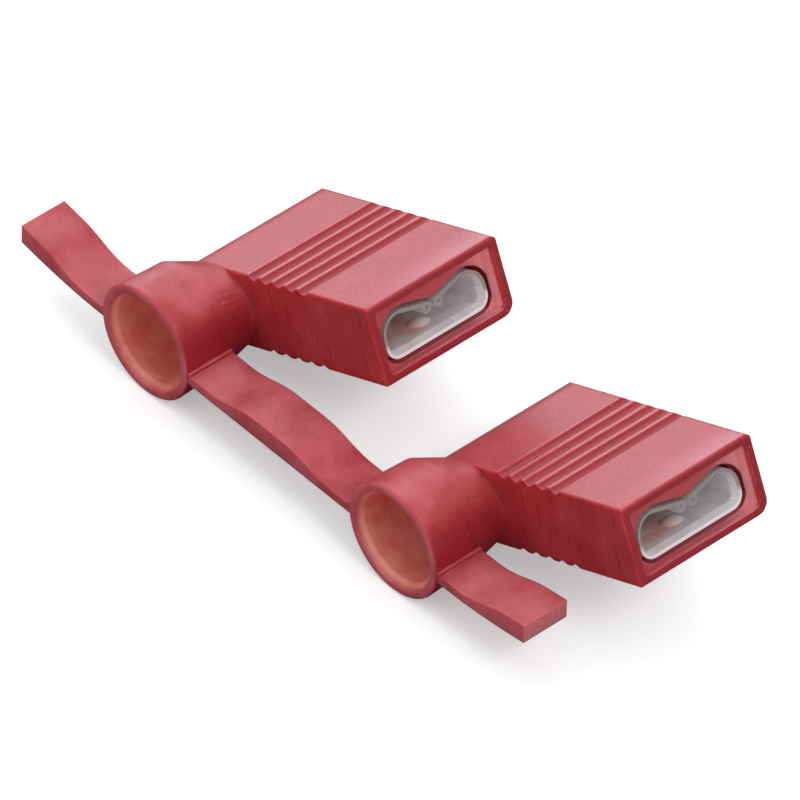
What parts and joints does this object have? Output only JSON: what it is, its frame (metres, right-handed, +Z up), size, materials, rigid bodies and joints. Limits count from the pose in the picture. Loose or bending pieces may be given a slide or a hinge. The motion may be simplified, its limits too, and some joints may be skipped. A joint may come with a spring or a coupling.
{
  "type": "right-angle female spade terminal",
  "caption": "Red insulated right-angle female spade terminals joined by the moulded strip they come on; tab enters at the front, wire from the side.",
  "frame": {"origin": "middle of the bounding box, at the level of the wire barrels' lowest points", "axes": "+X along the strip, from the left terminal to the right one; +Y along the wire barrels, from their mouths to the housings; +Z up, with the tab mouths pointing 24 degrees up from +X"},
  "size_m": [0.0446, 0.0146, 0.0115],
  "materials": {
    "red_nylon": "slightly translucent red nylon, satin, with faint mould marks",
    "tin_plate": "bright tin plating over sheet brass"
  },
  "bodies": {
    "root": {"insulator_strip": "red_nylon", "contact_left": "tin_plate", "contact_right": "tin_plate"}
  },
  "joints": []
}
